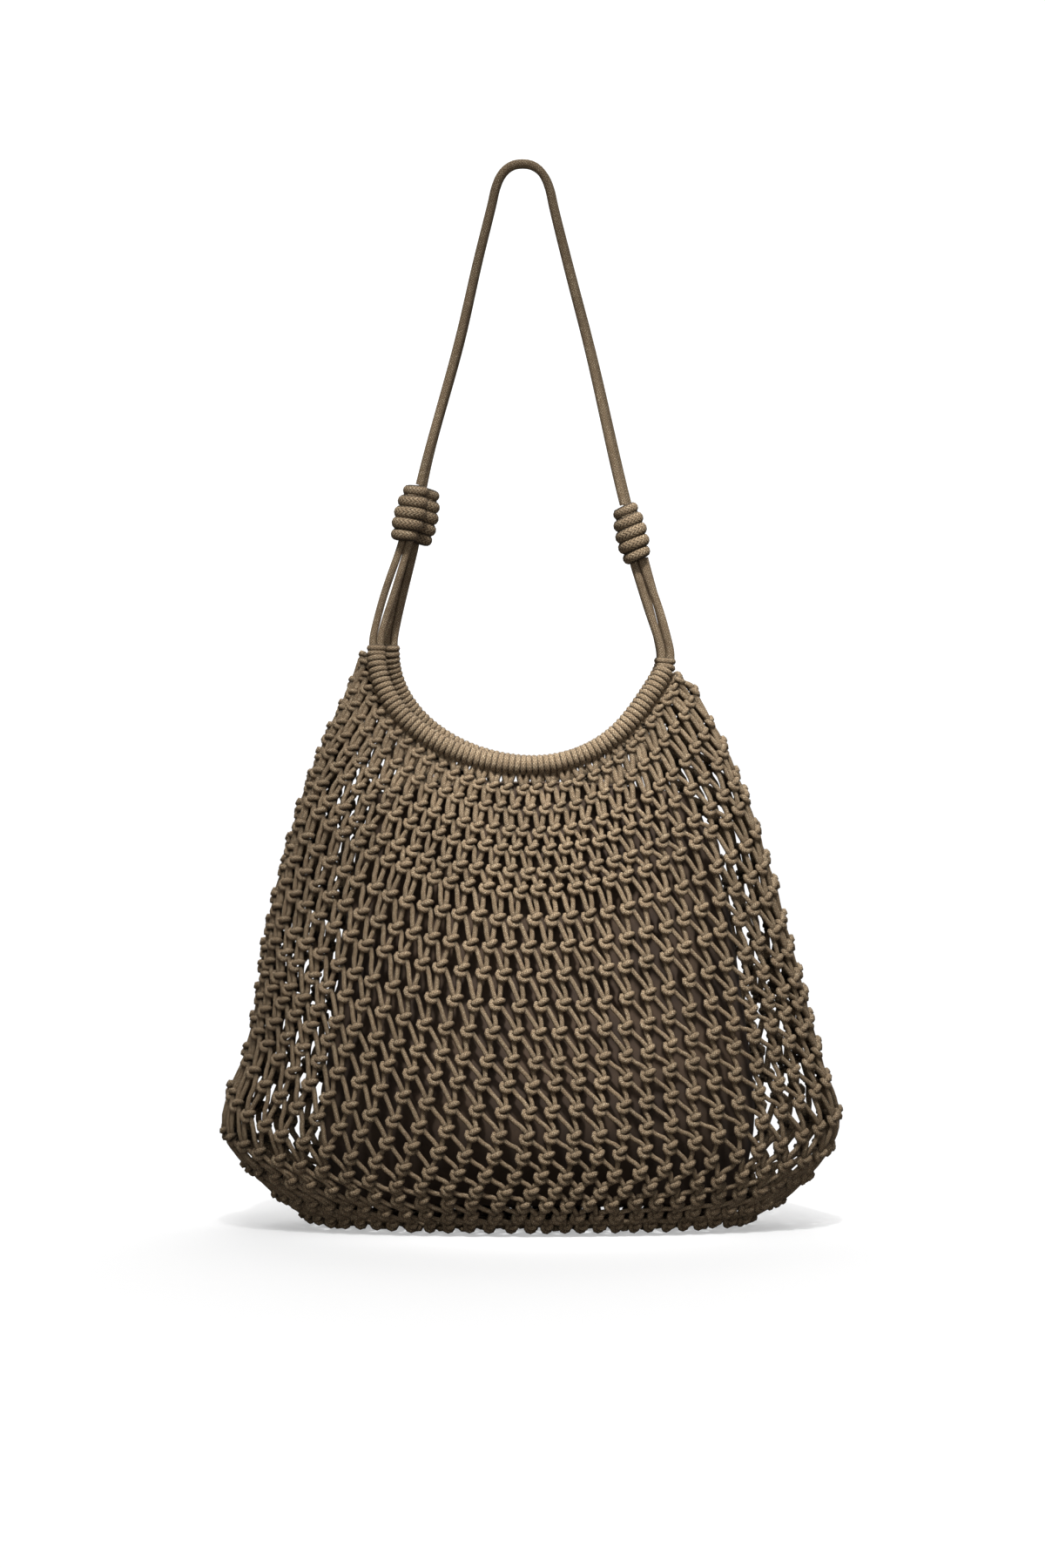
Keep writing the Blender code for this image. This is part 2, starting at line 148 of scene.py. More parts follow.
def rimPoint(turn, shiftLeft, shiftRight, outward):
    angle = turn * math.tau
    left = bagShape["mouthCentre"] - bagShape["mouthWidth"] / 2 + shiftLeft
    right = bagShape["mouthCentre"] + bagShape["mouthWidth"] / 2 + shiftRight
    middle, half = (left + right) / 2, (right - left) / 2
    if math.cos(angle) > 0:
        drawn = 1 - max(0.0, 1 - abs(math.sin(angle / 2) / math.sin(math.pi / 4))) ** 1.7
        outward -= bagShape["rimStraight"] * math.sin(math.pi * drawn)
    normal = Vector((bagShape["mouthDrop"] * math.cos(angle), 0, -half * math.sin(angle))).normalized()
    return Vector((
        middle + half * math.cos(angle) + normal.x * outward,
        0,
        bagShape["height"] - bagShape["rimSlant"] / 2 * math.cos(angle)
        - bagShape["mouthDrop"] * math.sin(angle) + normal.z * outward,
    ))


def topLoopPoint(turn):
    angle = turn * math.tau
    cosine, sine = math.cos(angle), math.sin(angle)
    settled = abs(sine) ** bagShape["topRoundness"]
    shifts = [shift * settled for shift in rimShifts("back" if sine > 0 else "front")]
    clear = bagShape["rimTube"] / 2 + bagShape["gap"] + bagShape["wall"] * cosine ** bagShape["tipSharpness"]
    point = rimPoint(turn if turn <= 0.5 else 1 - turn, *shifts, clear)
    point.y = math.copysign((bagShape["halfOpen"] + bagShape["wall"] / 2) * settled, sine)
    return point


def sectionPoint(row, turn):
    angle = turn * math.tau
    cosine, sine = math.cos(angle), math.sin(angle)
    reach = row["right"] if cosine >= 0 else row["left"]
    rise = row["middleRise"] + (row["sideRise"] - row["middleRise"]) * cosine ** 2
    depth = bagShape["depth"] / 2 * row["depth"] * abs(sine) ** row["roundness"]
    return Vector((bagShape["width"] / 2 * reach * cosine, math.copysign(depth, sine),
                   bagShape["height"] * rise))


def blendPoints(before, start, end, after, share):
    spanIn = max((start - before).length, 1e-9)
    span = max((end - start).length, 1e-9)
    spanOut = max((after - end).length, 1e-9)
    leave = ((start - before) * (span / spanIn) + (end - start) * (spanIn / span)) / (spanIn + span)
    reach = ((end - start) * (spanOut / span) + (after - end) * (span / spanOut)) / (span + spanOut)
    squared, cubed = share ** 2, share ** 3
    return (start * (2 * cubed - 3 * squared + 1) + leave * span * (cubed - 2 * squared + share)
            + end * (3 * squared - 2 * cubed) + reach * span * (cubed - squared))


def smoothLine(points, steps):
    around = [2 * points[0] - points[1], *points, 2 * points[-1] - points[-2]]
    line = []
    for i in range(len(points) - 1):
        line += [blendPoints(*around[i:i + 4], k / steps) for k in range(steps)]
    line.append(points[-1].copy())
    return line


def evenLine(line, count):
    # The same line with evenly spaced points
    lengths = [0.0]
    for a, b in zip(line, line[1:]):
        lengths.append(lengths[-1] + (b - a).length)
    found = []
    for k in range(count + 1):
        target = lengths[-1] * k / count
        i = min(bisect_right(lengths, target) - 1, len(line) - 2)
        span = max(lengths[i + 1] - lengths[i], 1e-9)
        found.append(line[i].lerp(line[i + 1], (target - lengths[i]) / span))
    return found


# The net's skin as a fine table of points, from which knots take their place and facing

skinTurns, skinShares = 288, 72
skin = []
for k in range(skinTurns):
    guides = [topLoopPoint(k / skinTurns)] + [sectionPoint(row, k / skinTurns) for row in netSections]
    skin.append(evenLine(smoothLine(guides, 12), skinShares))


def skinPoint(turn, share):
    a = (turn % 1.0) * skinTurns
    k = int(a) % skinTurns
    b = min(max(share, 0.0), 1.0) * skinShares
    m = min(int(b), skinShares - 1)
    here, there = skin[k], skin[(k + 1) % skinTurns]
    return here[m].lerp(here[m + 1], b - m).lerp(there[m].lerp(there[m + 1], b - m), a - int(a))


def skinOutward(turn, share):
    step = 1 / 72
    across = skinPoint(turn + step, share) - skinPoint(turn - step, share)
    down = skinPoint(turn, min(share + step, 1)) - skinPoint(turn, max(share - step, 0))
    return down.cross(across).normalized()


print("skin of the net measured")


# Geometry Nodes: cords swept along lines, knots set on points, wraps threaded on a path

def newTree(name, sockets):
    tree = bpy.data.node_groups.new(name, "GeometryNodeTree")
    tree.interface.new_socket("Geometry", in_out="INPUT", socket_type="NodeSocketGeometry")
    for socketName, kind in sockets:
        tree.interface.new_socket(socketName, in_out="INPUT", socket_type="NodeSocket" + kind)
    tree.interface.new_socket("Geometry", in_out="OUTPUT", socket_type="NodeSocketGeometry")
    return tree, addNode(tree, "NodeGroupInput"), addNode(tree, "NodeGroupOutput")


def sweepCord(tree, curve, diameter, sides, thick):
    # A round cord along a curve, which keeps where each spot lies round and along it for the braid
    radius = addNode(tree, "ShaderNodeMath", {0: diameter, 1: 0.5}, operation="MULTIPLY")
    profile = addNode(tree, "GeometryNodeCurvePrimitiveCircle", {"Resolution": sides, "Radius": radius.outputs[0]})
    roundIt = addNode(tree, "GeometryNodeSplineParameter")
    angle = addNode(tree, "ShaderNodeMath", {0: roundIt.outputs["Factor"], 1: math.tau}, operation="MULTIPLY")
    cosine = addNode(tree, "ShaderNodeMath", {0: angle.outputs[0]}, operation="COSINE")
    sine = addNode(tree, "ShaderNodeMath", {0: angle.outputs[0]}, operation="SINE")
    pair = addNode(tree, "ShaderNodeCombineXYZ", {"X": cosine.outputs[0], "Y": sine.outputs[0]})
    keepRound = addNode(tree, "GeometryNodeCaptureAttribute", {0: profile.outputs[0]})
    keepRound.capture_items.new("VECTOR", "round")
    tree.links.new(pair.outputs[0], keepRound.inputs[1])
    alongIt = addNode(tree, "GeometryNodeSplineParameter")
    keepAlong = addNode(tree, "GeometryNodeCaptureAttribute", {0: curve})
    keepAlong.capture_items.new("FLOAT", "along")
    tree.links.new(alongIt.outputs["Length"], keepAlong.inputs[1])
    swept = addNode(tree, "GeometryNodeCurveToMesh", {
        "Curve": keepAlong.outputs[0], "Profile Curve": keepRound.outputs[0], "Scale": thick, "Fill Caps": True})
    parts = addNode(tree, "ShaderNodeSeparateXYZ", {0: keepRound.outputs[1]})
    millimetres = addNode(tree, "ShaderNodeMath", {0: keepAlong.outputs[1], 1: 1000.0}, operation="MULTIPLY")
    lay = addNode(tree, "ShaderNodeCombineXYZ", {
        "X": parts.outputs[0], "Y": parts.outputs[1], "Z": millimetres.outputs[0]})
    stored = addNode(tree, "GeometryNodeStoreNamedAttribute", {
        "Geometry": swept.outputs[0]}, data_type="FLOAT_VECTOR", domain="POINT")
    stored.inputs["Name"].default_value = "lay"
    tree.links.new(lay.outputs[0], stored.inputs["Value"])
    return addNode(tree, "GeometryNodeSetShadeSmooth", {"Geometry": stored.outputs[0]}).outputs[0]


def finishTree(tree, geometry, material, output):
    real = addNode(tree, "GeometryNodeRealizeInstances", {"Geometry": geometry})
    dressed = addNode(tree, "GeometryNodeSetMaterial", {"Geometry": real.outputs[0], "Material": material})
    tree.links.new(dressed.outputs[0], output.inputs[0])


def cordTree():
    tree, given, output = newTree("cords along lines", (
        ("Cord diameter", "Float"), ("Sides", "Int"), ("Cord material", "Material")))
    curve = addNode(tree, "GeometryNodeMeshToCurve", {"Mesh": given.outputs["Geometry"]})
    thick = addNode(tree, "GeometryNodeInputNamedAttribute", {"Name": "thick"}, data_type="FLOAT")
    swept = sweepCord(tree, curve.outputs[0], given.outputs["Cord diameter"], given.outputs["Sides"],
                      thick.outputs[0])
    finishTree(tree, swept, given.outputs["Cord material"], output)
    return tree


def knotTree():
    tree, given, output = newTree("knots on points", (
        ("Knot lines", "Object"), ("Cord diameter", "Float"), ("Sides", "Int"),
        ("Tilt spread", "Float"), ("Seed", "Int"), ("Cord material", "Material")))
    shape = addNode(tree, "GeometryNodeObjectInfo", {"Object": given.outputs["Knot lines"]})
    curve = addNode(tree, "GeometryNodeMeshToCurve", {"Mesh": shape.outputs["Geometry"]})
    thick = addNode(tree, "GeometryNodeInputNamedAttribute", {"Name": "thick"}, data_type="FLOAT")
    knot = sweepCord(tree, curve.outputs[0], given.outputs["Cord diameter"], given.outputs["Sides"],
                     thick.outputs[0])
    upward = addNode(tree, "GeometryNodeInputNamedAttribute", {"Name": "upward"}, data_type="FLOAT_VECTOR")
    inward = addNode(tree, "GeometryNodeInputNamedAttribute", {"Name": "inward"}, data_type="FLOAT_VECTOR")
    facing = addNode(tree, "FunctionNodeAxesToRotation", {
        "Primary Axis": upward.outputs[0], "Secondary Axis": inward.outputs[0]},
        primary_axis="Z", secondary_axis="Y")
    least = addNode(tree, "ShaderNodeMath", {0: given.outputs["Tilt spread"], 1: -1.0}, operation="MULTIPLY")
    tilt = addNode(tree, "FunctionNodeRandomValue", {"Seed": given.outputs["Seed"]}, data_type="FLOAT_VECTOR")
    lowest = addNode(tree, "ShaderNodeCombineXYZ", {k: least.outputs[0] for k in range(3)})
    highest = addNode(tree, "ShaderNodeCombineXYZ", {k: given.outputs["Tilt spread"] for k in range(3)})
    tree.links.new(lowest.outputs[0], tilt.inputs[0])
    tree.links.new(highest.outputs[0], tilt.inputs[1])
    turned = addNode(tree, "FunctionNodeEulerToRotation", {"Euler": tilt.outputs[0]})
    settled = addNode(tree, "FunctionNodeRotateRotation", {
        "Rotation": facing.outputs[0], "Rotate By": turned.outputs[0]}, rotation_space="LOCAL")
    size = addNode(tree, "GeometryNodeInputNamedAttribute", {"Name": "size"}, data_type="FLOAT")
    placed = addNode(tree, "GeometryNodeInstanceOnPoints", {
        "Points": given.outputs["Geometry"], "Instance": knot, "Rotation": settled.outputs[0],
        "Scale": size.outputs[0]})
    finishTree(tree, placed.outputs[0], given.outputs["Cord material"], output)
    return tree


def wrapTree():
    tree, given, output = newTree("wraps on a path", (
        ("Wraps", "Int"), ("Ring radius", "Float"), ("Cord diameter", "Float"), ("Ring points", "Int"),
        ("Sides", "Int"), ("Lean", "Float"), ("Lean spread", "Float"), ("Seed", "Int"),
        ("Cord material", "Material")))
    path = addNode(tree, "GeometryNodeMeshToCurve", {"Mesh": given.outputs["Geometry"]})
    swell = addNode(tree, "GeometryNodeInputNamedAttribute", {"Name": "thick"}, data_type="FLOAT")
    spaced = addNode(tree, "GeometryNodeResampleCurve", {"Curve": path.outputs[0], "Count": given.outputs["Wraps"]})
    ring = addNode(tree, "GeometryNodeCurvePrimitiveCircle", {
        "Resolution": given.outputs["Ring points"], "Radius": given.outputs["Ring radius"]})
    wrap = sweepCord(tree, ring.outputs[0], given.outputs["Cord diameter"], given.outputs["Sides"], 1.0)
    tangent = addNode(tree, "GeometryNodeInputTangent")
    along = addNode(tree, "FunctionNodeAxesToRotation", {
        "Primary Axis": tangent.outputs[0], "Secondary Axis": (0.0, 1.0, 0.0)},
        primary_axis="Z", secondary_axis="Y")
    least = addNode(tree, "ShaderNodeMath", {
        0: given.outputs["Lean"], 1: given.outputs["Lean spread"]}, operation="SUBTRACT")
    most = addNode(tree, "ShaderNodeMath", {
        0: given.outputs["Lean"], 1: given.outputs["Lean spread"]}, operation="ADD")
    lean = addNode(tree, "FunctionNodeRandomValue", {"Seed": given.outputs["Seed"]}, data_type="FLOAT")
    tree.links.new(least.outputs[0], lean.inputs[2])
    tree.links.new(most.outputs[0], lean.inputs[3])
    leanOver = addNode(tree, "ShaderNodeCombineXYZ", {"Y": lean.outputs[1]})
    leaned = addNode(tree, "FunctionNodeEulerToRotation", {"Euler": leanOver.outputs[0]})
    settled = addNode(tree, "FunctionNodeRotateRotation", {
        "Rotation": along.outputs[0], "Rotate By": leaned.outputs[0]}, rotation_space="LOCAL")
    placed = addNode(tree, "GeometryNodeInstanceOnPoints", {
        "Points": spaced.outputs[0], "Instance": wrap, "Rotation": settled.outputs[0],
        "Scale": swell.outputs[0]})
    finishTree(tree, placed.outputs[0], given.outputs["Cord material"], output)
    return tree


trees = {"cord": cordTree(), "knot": knotTree(), "wrap": wrapTree()}


def runTree(name, plan, tree, values):
    # The tree's result on a plan mesh as a plain mesh object
    maker = bpy.data.objects.new(name + "_plan", plan)
    bpy.context.scene.collection.objects.link(maker)
    modifier = maker.modifiers.new("shape", "NODES")
    modifier.node_group = tree
    for item in tree.interface.items_tree:
        if item.in_out == "INPUT" and item.name in values:
            modifier[item.identifier] = values[item.name]
    shown = maker.evaluated_get(bpy.context.evaluated_depsgraph_get())
    mesh = bpy.data.meshes.new_from_object(shown)
    bpy.data.objects.remove(maker, do_unlink=True)
    mesh.name = name
    mesh.materials.clear()
    mesh.materials.append(values["Cord material"])
    mesh.polygons.foreach_set("material_index", [0] * len(mesh.polygons))
    piece = bpy.data.objects.new(name, mesh)
    bpy.context.scene.collection.objects.link(piece)
    return piece


def linesMesh(name, lines):
    # Lines of points, each with its thickness and how lit it is, as one mesh of edges
    mesh = bpy.data.meshes.new(name)
    edges = []
    start = 0
    for line in lines:
        edges += [(start + k, start + k + 1) for k in range(len(line) - 1)]
        start += len(line)
    mesh.from_pydata([tuple(point) for line in lines for point, thick, lit in line], edges, [])
    for key, place in (("thick", 1), ("lit", 2)):
        layer = mesh.attributes.new(key, "FLOAT", "POINT")
        layer.data.foreach_set("value", [spot[place] for line in lines for spot in line])
    return mesh


def settle(piece, slotName, *nodes):
    # Every piece rides on the bag, which has no moving parts
    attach(piece, "root")
    if nodes:
        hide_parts(*nodes)


print("node trees built")


# Materials

def newMaterial(name):
    material = bpy.data.materials.new(name)
    material.use_nodes = True
    tree = material.node_tree
    return material, tree, tree.nodes["Principled BSDF"]


braidLook = {
    "stitch": 1.3,        # mm along the cord for one braid stitch
    "strands": 6,         # columns of slanted stitches round the cord
    "slant": 0.9,         # stitches that a column climbs from its edge to its middle
    # Painted shade: the colour drawn in the grooves between stitches
    "paintedGrooveShade": "#392d1f",
    "yarn": "#867158",
    # Pale fibre, and also a painted highlight, since it shows only on the raised stitches
    "fleckHighlight": "#bbaa8e",
    # Painted shade where a cord goes into a knot, and between the pressed wraps of wound cord
    "paintedContactShade": 0.22,       # brightness left where a cord is tucked into a knot
    "roughness": 0.8,
    "bump": 0.6,
    "bumpDepth": 0.0004,
}


def braidedCord(name, look, paintedContactShade=False, wound=False):
    # Matt braided cotton cord: slanted stitches that meet in Vs, with painted shade in the grooves between them, and
    # pale fibre flecks on top that are also a painted highlight
    material, tree, shader = newMaterial(name)
    lay = addNode(tree, "ShaderNodeAttribute", attribute_name="lay")
    parts = addNode(tree, "ShaderNodeSeparateXYZ", {0: lay.outputs["Vector"]})
    angle = addNode(tree, "ShaderNodeMath", {0: parts.outputs[1], 1: parts.outputs[0]}, operation="ARCTAN2")
    columns = addNode(tree, "ShaderNodeMath", {
        0: angle.outputs[0], 1: look["strands"] / math.tau}, operation="MULTIPLY")
    slanted = addNode(tree, "ShaderNodeMath", {0: columns.outputs[0], 1: 0.5}, operation="PINGPONG")
    climbed = addNode(tree, "ShaderNodeMath", {
        0: slanted.outputs[0], 1: look["slant"] * 2}, operation="MULTIPLY")
    stitches = addNode(tree, "ShaderNodeMath", {
        0: parts.outputs[2], 1: 1 / look["stitch"], 2: climbed.outputs[0]}, operation="MULTIPLY_ADD")
    phase = addNode(tree, "ShaderNodeMath", {0: stitches.outputs[0], 1: math.tau}, operation="MULTIPLY")
    wave = addNode(tree, "ShaderNodeMath", {0: phase.outputs[0]}, operation="SINE")
    ridge = addNode(tree, "ShaderNodeMapRange", {"Value": wave.outputs[0], "From Min": -1.0, "From Max": 0.2})
    # Lower at the edges of each column of stitches, which the ramp below turns into painted shade where the strands
    # meet
    column = addNode(tree, "ShaderNodeMapRange", {
        "Value": slanted.outputs[0], "From Min": 0.0, "From Max": 0.12, "To Min": 0.45})
    height = addNode(tree, "ShaderNodeMath", {0: ridge.outputs[0], 1: column.outputs[0]}, operation="MULTIPLY")
    place = addNode(tree, "ShaderNodeTexCoord")
    fibre = addNode(tree, "ShaderNodeTexNoise", {
        "Vector": place.outputs["Object"], "Scale": 1300.0, "Detail": 2.0})   # fibres of about 0.8 mm
    patch = addNode(tree, "ShaderNodeTexNoise", {
        "Vector": place.outputs["Object"], "Scale": 45.0, "Detail": 3.0})     # dye that varies over 20 mm
    # The stitch height also sets the colour: painted shade low in the grooves, yarn colour on the ridges
    colour = addNode(tree, "ShaderNodeValToRGB", {0: height.outputs[0]})
    ramp = colour.color_ramp
    ramp.elements[0].color = linearColour(look["paintedGrooveShade"])
    ramp.elements[1].color = linearColour(look["yarn"])
    ramp.elements[1].position = 0.6
    fleckAmount = addNode(tree, "ShaderNodeMapRange", {
        "Value": fibre.outputs[0], "From Min": 0.5, "From Max": 0.66})
    # Flecks only on the ridges: pale fibre and painted highlight together
    fleckHighlightOnTop = addNode(tree, "ShaderNodeMath", {
        0: fleckAmount.outputs[0], 1: height.outputs[0]}, operation="MULTIPLY")
    flecked = addNode(tree, "ShaderNodeMix", {
        0: fleckHighlightOnTop.outputs[0], 6: colour.outputs[0], 7: linearColour(look["fleckHighlight"])}, data_type="RGBA")
    dye = addNode(tree, "ShaderNodeMapRange", {
        "Value": patch.outputs[0], "From Min": 0.3, "From Max": 0.7, "To Min": 0.82, "To Max": 1.1})
    strength = dye
    if paintedContactShade:
        # Painted shade where the cord goes into a knot, darker by the lit value stored on its points
        lit = addNode(tree, "ShaderNodeAttribute", attribute_name="lit")
        shown = addNode(tree, "ShaderNodeMapRange", {
            "Value": lit.outputs["Fac"], "From Min": 0.35, "From Max": 0.9, "To Min": look["paintedContactShade"]})
        strength = addNode(tree, "ShaderNodeMath", {0: dye.outputs[0], 1: shown.outputs[0]}, operation="MULTIPLY")
    if wound:
        # Painted shade: each wrap is darker along the line where it presses on the next
        beside = addNode(tree, "ShaderNodeMath", {0: parts.outputs[1]}, operation="ABSOLUTE")
        shown = addNode(tree, "ShaderNodeMapRange", {
            "Value": beside.outputs[0], "From Min": 0.62, "From Max": 0.84, "To Min": 1.0, "To Max": look["paintedContactShade"]})
        strength = addNode(tree, "ShaderNodeMath", {0: dye.outputs[0], 1: shown.outputs[0]}, operation="MULTIPLY")
    # The flecked colour times the random dye tone and the painted shade above
    dyedAndShaded = addNode(tree, "ShaderNodeVectorMath", {0: flecked.outputs[2], "Scale": strength.outputs[0]},
                   operation="SCALE")
    bump = addNode(tree, "ShaderNodeBump", {
        "Strength": look["bump"], "Distance": look["bumpDepth"], "Height": height.outputs[0]})
    tree.links.new(dyedAndShaded.outputs[0], shader.inputs["Base Color"])
    tree.links.new(bump.outputs[0], shader.inputs["Normal"])
    shader.inputs["Roughness"].default_value = look["roughness"]
    shader.inputs["Specular IOR Level"].default_value = 0.25
    return material


pouchLook = {
    "thread": 0.9,          # mm between threads, drawn twice as coarse as the real weave so that it shows
    # Both browns are darker than the cloth itself: painted shade for the net's shadow inside the bag
    "dark": "#2f2218",
    "light": "#503e2d",
    "roughness": 0.9,
}


def wovenCloth(name, look):
    # Matt plain-woven cotton: a fine cross weave and soft, worn patches, in browns darker than the cloth's own colour
    # as painted shade from the net over it
    material, tree, shader = newMaterial(name)
    place = addNode(tree, "ShaderNodeTexCoord")
    parts = addNode(tree, "ShaderNodeSeparateXYZ", {0: place.outputs["Object"]})
    perMetre = math.tau * 1000 / look["thread"]
    waves = []
    for k in (0, 2):
        scaled = addNode(tree, "ShaderNodeMath", {0: parts.outputs[k], 1: perMetre}, operation="MULTIPLY")
        waves.append(addNode(tree, "ShaderNodeMath", {0: scaled.outputs[0]}, operation="SINE"))
    weave = addNode(tree, "ShaderNodeMath", {
        0: waves[0].outputs[0], 1: waves[1].outputs[0]}, operation="MULTIPLY")
    patch = addNode(tree, "ShaderNodeTexNoise", {
        "Vector": place.outputs["Object"], "Scale": 30.0, "Detail": 4.0})     # wear over 30 mm
    mixed = addNode(tree, "ShaderNodeMath", {0: weave.outputs[0], 1: 0.18, 2: patch.outputs[0]},
                    operation="MULTIPLY_ADD")
    colour = addNode(tree, "ShaderNodeValToRGB", {0: mixed.outputs[0]})
    colour.color_ramp.elements[0].color = linearColour(look["dark"])
    colour.color_ramp.elements[0].position = 0.3
    colour.color_ramp.elements[1].color = linearColour(look["light"])
    colour.color_ramp.elements[1].position = 0.75
    bump = addNode(tree, "ShaderNodeBump", {
        "Strength": 0.3, "Distance": 0.0002, "Height": weave.outputs[0]})
    tree.links.new(colour.outputs[0], shader.inputs["Base Color"])
    tree.links.new(bump.outputs[0], shader.inputs["Normal"])
    shader.inputs["Roughness"].default_value = look["roughness"]
    shader.inputs["Sheen Weight"].default_value = 0.04
    return material


cords = {
    "net": braidedCord("braided_net_cord", braidLook, paintedContactShade=True),
    "wound": braidedCord("braided_wound_cord", {**braidLook, "stitch": 1.8, "strands": 8}, wound=True),
    "strap": braidedCord("braided_strap_cord", {**braidLook, "stitch": 1.8, "strands": 8}),
}
pouchCloth = wovenCloth("woven_pouch_cloth", pouchLook)
print("materials made")


# Net: knots in offset rows, each hanging by two cords from the row above

netPlan = {
    "columns": 60,
    "cord": 0.0041,
    "backCord": 0.0052,    # the back hangs a little closer
    "knotSides": 6,
    "cordSides": 6,
    "fullness": 1.18,      # thickness of the cords near the rim beside those lower down
    "sink": 0.0034,        # middle of the cords behind the outer skin
    "lowest": 0.0060,      # middle of the lowest knots over the floor
    "scatter": 0.0007,
    "tiltSpread": 0.13,
    "topCrowding": 0.84,   # size of the crowded knots under the rim
    "crowding": 0.09,      # how much closer the columns are at the front's left
    "leftHold": 0.6,       # how much less the columns turn to the right at the bag's left side
    "rowTilt": 0.12,       # how much more the rows rise to the left than to the right
    "endPull": (0.42, 0.20, 0.07),
    "seed": 7,
}

# Each row of knots: its distance down the middle of the front as a share of the way to the base,
# its turn to the right of the row above in columns, and how far its ends are pulled up, as a share too
rowColumns = ("share", "twist", "lift")
netRowTable = [dict(zip(rowColumns, row)) for row in (
    (0.028, 0.00, 0.022),
    (0.072, 0.00, 0.026),
    (0.119, 0.00, 0.030),
    (0.158, 0.03, 0.030),
    (0.206, 0.06, 0.032),
    (0.245, 0.09, 0.036),
    (0.306, 0.13, 0.042),
    (0.366, 0.17, 0.052),
    (0.423, 0.21, 0.064),
    (0.487, 0.25, 0.076),
    (0.546, 0.29, 0.092),
    (0.605, 0.32, 0.108),
    (0.653, 0.34, 0.124),
    (0.708, 0.34, 0.138),
    (0.761, 0.33, 0.146),
    (0.804, 0.31, 0.138),
    (0.846, 0.28, 0.116),
    (0.880, 0.24, 0.084),
    (0.911, 0.20, 0.052),
    (0.950, 0.15, 0.026),
    (0.985, 0.10, 0.008),
)]

# Centrelines of the two wraps of a knot in mm: to the right along the row, outwards, up,
# then the cord's thickness and how lit it is, darker where it is tucked away
knotBar = (
    (-1.8, 0.3, 0.1, 0.76, 0.25),
    (-1.4, 2.4, 1.0, 0.98, 0.70),
    (0.5, 3.7, 2.1, 1.04, 1.00),
    (2.6, 3.3, 3.2, 1.02, 1.00),
    (3.8, 1.0, 3.6, 0.90, 0.70),
    (2.7, -1.2, 2.7, 0.72, 0.30),
)
knotHook = (
    (-1.7, -1.0, 2.6, 0.70, 0.30),
    (-3.4, 0.8, 2.3, 0.88, 0.85),
    (-3.9, 2.0, 0.2, 1.00, 1.00),
    (-3.0, 2.6, -1.9, 1.06, 1.00),
    (-0.9, 2.8, -2.9, 1.08, 0.95),
    (1.3, 2.1, -2.4, 1.02, 0.80),
    (2.7, 0.7, -0.9, 0.80, 0.40),
    (2.5, -1.2, 0.8, 0.68, 0.25),
)
# Where the cords leave and enter a knot, in mm as above
leaveRight = ((2.0, 1.3, 0.6), (3.6, 1.1, -2.0))
leaveLeft = ((-2.2, 0.8, -1.4), (-2.0, 0.9, -4.6))
enterLeft = ((-1.4, 1.3, 4.8), (-0.1, 1.3, 1.8))
enterRight = ((1.8, 0.8, 5.4), (1.1, 0.6, 2.2))
# Each cord's thickness and lit value, with painted shade at its ends where it goes into a knot
cordSizes = ((0.80, 0.30), (0.84, 0.75), (0.82, 1.00), (0.82, 1.00), (0.84, 0.80), (0.80, 0.30))


def rowTable(shareOf):
    # Lengths round a row, to find where evenly spaced columns fall
    points = [skinPoint(k / skinTurns, shareOf(k / skinTurns)) for k in range(skinTurns + 1)]
    lengths = [0.0]
    for a, b in zip(points, points[1:]):
        lengths.append(lengths[-1] + (b - a).length)
    return lengths


def columnTurn(lengths, column, twist, even):
    share = ((column + twist) / netPlan["columns"]) % 1.0
    share -= netPlan["leftHold"] * twist / netPlan["columns"] * max(0.0, math.cos(math.tau * (share - 0.5)))
    share += netPlan["crowding"] / math.tau * (math.sin(math.tau * (share - 0.1)) - math.sin(-math.tau * 0.1))
    target = share * lengths[-1]
    k = min(bisect_right(lengths, target) - 1, skinTurns - 1)
    byLength = (k + (target - lengths[k]) / max(lengths[k + 1] - lengths[k], 1e-9)) / skinTurns
    return share + (byLength - share) * even


def evenness(share):
    # The columns crowd in the middle under the rim, and at the bag's sides lower down
    t = min(max((share - 0.1) / 0.45, 0.0), 1.0)
    return 1.15 - 0.35 * t * t * (3 - 2 * t)


def rimKnot(turn):
    # Where the first cords are wound round the rim, inside its tube
    sine = math.sin(turn * math.tau)
    faceName, face = ("back", 1) if sine > 0 else ("front", -1)
    spot = rimPoint(turn if turn <= 0.5 else 1 - turn, *rimShifts(faceName), 0)
    spot.y = face * mouthHalfDepth(abs(sine))
    spot.z -= 0.008 * math.cos(turn * math.tau) ** 8
    return spot


def rowShareAt(row, turn):
    cosine = math.cos(turn * math.tau)
    return row["share"] - row["lift"] * (cosine ** 2 - netPlan["rowTilt"] * cosine * abs(cosine))


